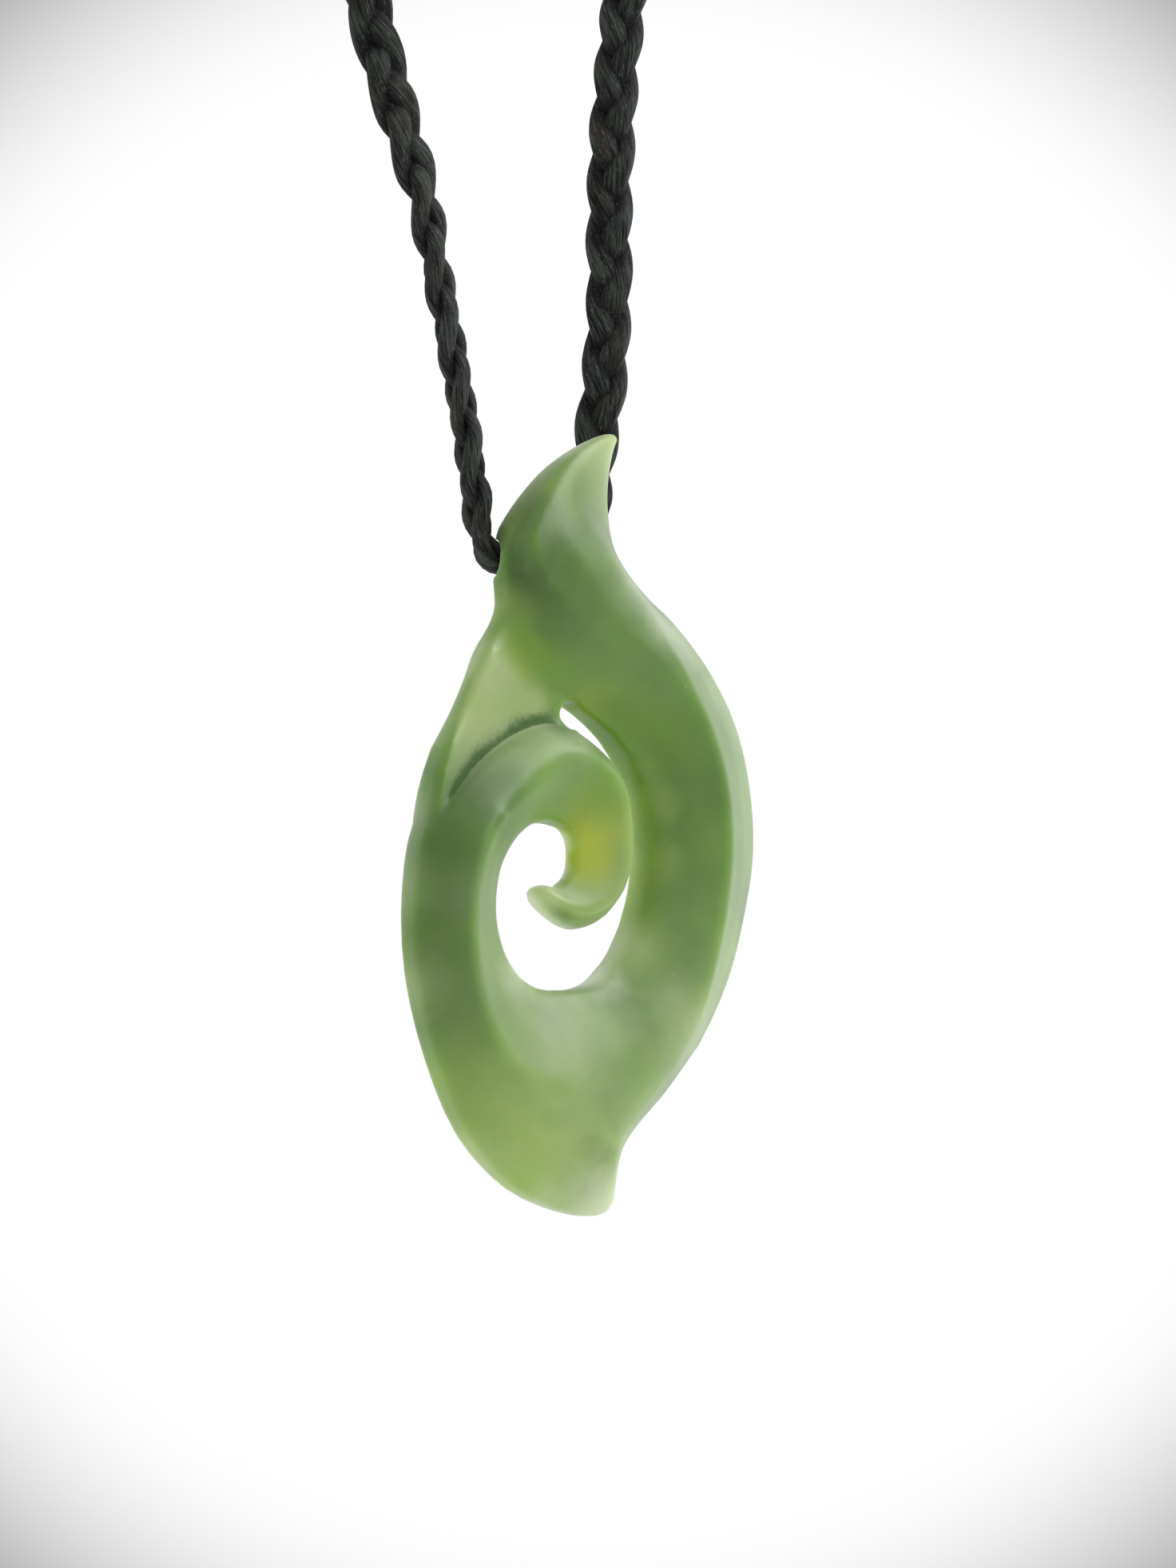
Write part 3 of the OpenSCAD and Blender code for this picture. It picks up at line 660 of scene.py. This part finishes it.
def makeWhipping(w):
    half = w["length"] / 2
    floor = plait["socket"] - half
    bm = bmesh.new()
    profile = [(floor, 0), (floor, w["mouthRadius"]), (-half, w["mouthRadius"]), (-half, w["coreRadius"])]
    profile += [(-x, r) for x, r in reversed(profile)]
    verts = [bm.verts.new((x * mm, 0, r * mm)) for x, r in profile]
    edges = [bm.edges.new(pair) for pair in zip(verts, verts[1:])]
    bmesh.ops.spin(bm, geom=verts + edges, cent=(0, 0, 0), axis=(1, 0, 0), angle=2 * math.pi,
                   steps=w["coreSteps"], use_merge=True)
    bmesh.ops.remove_doubles(bm, verts=bm.verts, dist=mergeWithin)
    turns = int((w["length"] - 2 * w["threadRadius"]) / w["pitch"])
    steps = turns * w["stepsPerTurn"]
    rise = w["coreRadius"] + w["threadRadius"] * w["threadSeat"]
    start = Matrix.Translation(Vector((-turns * w["pitch"] / 2, 0, rise)) * mm)
    ring = bmesh.ops.create_circle(bm, segments=w["threadSides"], radius=w["threadRadius"] * mm,
                                   cap_ends=True, matrix=start @ Matrix.Rotation(math.pi / 2, 4, "X"))
    faces = list({f for v in ring["verts"] for f in v.link_faces})
    bmesh.ops.spin(bm, geom=faces, cent=(0, 0, 0), axis=(1, 0, 0), angle=2 * math.pi * turns, steps=steps,
                   dvec=(w["pitch"] / w["stepsPerTurn"] * mm, 0, 0))
    bmesh.ops.recalc_face_normals(bm, faces=bm.faces)
    bmesh.ops.translate(bm, verts=bm.verts, vec=(0, 0, plait["nape"] * mm + bore.z))
    return meshFrom(bm, "napeWhipping")


def waxedThread(w, p):
    material, start, shader = newMaterial("waxedThread", {"IOR": 1.45, "Sheen Weight": 0.1})
    coords = start.node("ShaderNodeTexCoord", out="Object")
    fibre = coords.noise(w["fibre"] * mm, roughness=0.6)
    feed(shader, "Base Color", fibre.between(*w["fibreSpan"]).mix(colour(p["black"]), colour(p["wearAndSheen"])))
    feed(shader, "Roughness", fibre * w["roughnessSpread"] + w["roughness"])
    feed(shader, "Normal", fibre.bump(w["fibreStrength"], w["fibreDepth"] * mm))
    return material


addPiece("nape_whipping", makeWhipping(whipping), waxedThread(whipping, plait), "sleeve", "cord_join")
print("whipping wound")


# floor, light and background

studio = {
    "floorDrop": 0.11,         # m below the stone
    "floorRadius": 2.0,
    "floorSides": 96,
    "paper": "F2F2F0", "paperGrain": 0.004,
    "ambient": 0.39,
    "cornerShade": 1.02,
    "cornersSpan": (0.76, 1.24),   # in half diagonals of the picture
    "reach": 0.7,              # m from the stone to each lamp
    # turn to the right of the camera and height in degrees, size in m, watts, and whether the shine shows it
    "lights": [
        {"name": "windowRight", "turn": 90, "height": 48, "size": 0.45, "power": 2.2, "shine": True},
        {"name": "sideRight", "turn": 90, "height": 3, "size": 0.45, "power": 1.9, "shine": False},
        {"name": "backRight", "turn": 135, "height": 8, "size": 0.45, "power": 0.8, "shine": True},
        {"name": "sideLeft", "turn": 270, "height": 8, "size": 0.45, "power": 1.9, "shine": False},
    ],
}


def makeFloor(s):
    bm = bmesh.new()
    bmesh.ops.create_circle(bm, segments=s["floorSides"], radius=s["floorRadius"], cap_ends=True)
    bmesh.ops.translate(bm, verts=bm.verts, vec=(0, 0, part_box("stone")[0][2] - s["floorDrop"]))
    floor = bpy.data.objects.new("paperFloor", meshFrom(bm, "paperFloor"))
    bpy.context.scene.collection.objects.link(floor)
    material, start, shader = newMaterial("paper", {"Roughness": 0.9, "IOR": 1.3})
    coords = start.node("ShaderNodeTexCoord", out="Object")
    tone = coords.noise(s["paperGrain"]).mix(colour(s["paper"]), colour("FFFFFF"))
    feed(shader, "Base Color", tone)
    floor.data.materials.append(material)


def makeLights(s):
    low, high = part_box("stone")
    aim = (Vector(low) + Vector(high)) / 2
    for lamp in s["lights"]:
        turn, height = math.radians(lamp["turn"]), math.radians(lamp["height"])
        level = viewRight * math.sin(turn) + viewBack * math.cos(turn)
        data = bpy.data.lights.new(lamp["name"], "AREA")
        data.size = lamp["size"]
        data.energy = lamp["power"]
        made = bpy.data.objects.new(lamp["name"], data)
        bpy.context.scene.collection.objects.link(made)
        made.visible_glossy = lamp["shine"]
        made.location = aim + (level * math.cos(height) + viewUp * math.sin(height)) * s["reach"]
        made.rotation_euler = (aim - made.location).to_track_quat("-Z", "Y").to_euler()


def makeWorld(s):
    world = bpy.data.worlds.new("whiteStudio")
    bpy.context.scene.world = world
    world.use_nodes = True
    start = Link(world.node_tree)
    seen = start.node("ShaderNodeLightPath", out="Is Camera Ray")
    # painted shade: the backdrop that the camera sees darkens towards the picture's corners
    window = start.node("ShaderNodeTexCoord", out="Window")
    width, height = camera["imageSize"]
    across = (window.part(0) - 0.5) * (2 * width / math.hypot(width, height))
    up = (window.part(1) - 0.5) * (2 * height / math.hypot(width, height))
    away = start.maths("SQRT", across * across + up * up)
    corners = away.between(*s["cornersSpan"]) * s["cornerShade"]
    background = world.node_tree.nodes["Background"]
    background.inputs["Color"].default_value = (1, 1, 1, 1)
    feed(background, "Strength", seen * (1 - s["ambient"] - corners) + s["ambient"])
    bpy.context.scene.view_settings.view_transform = "Standard"


makeFloor(studio)
makeLights(studio)
makeWorld(studio)
print("studio lit")
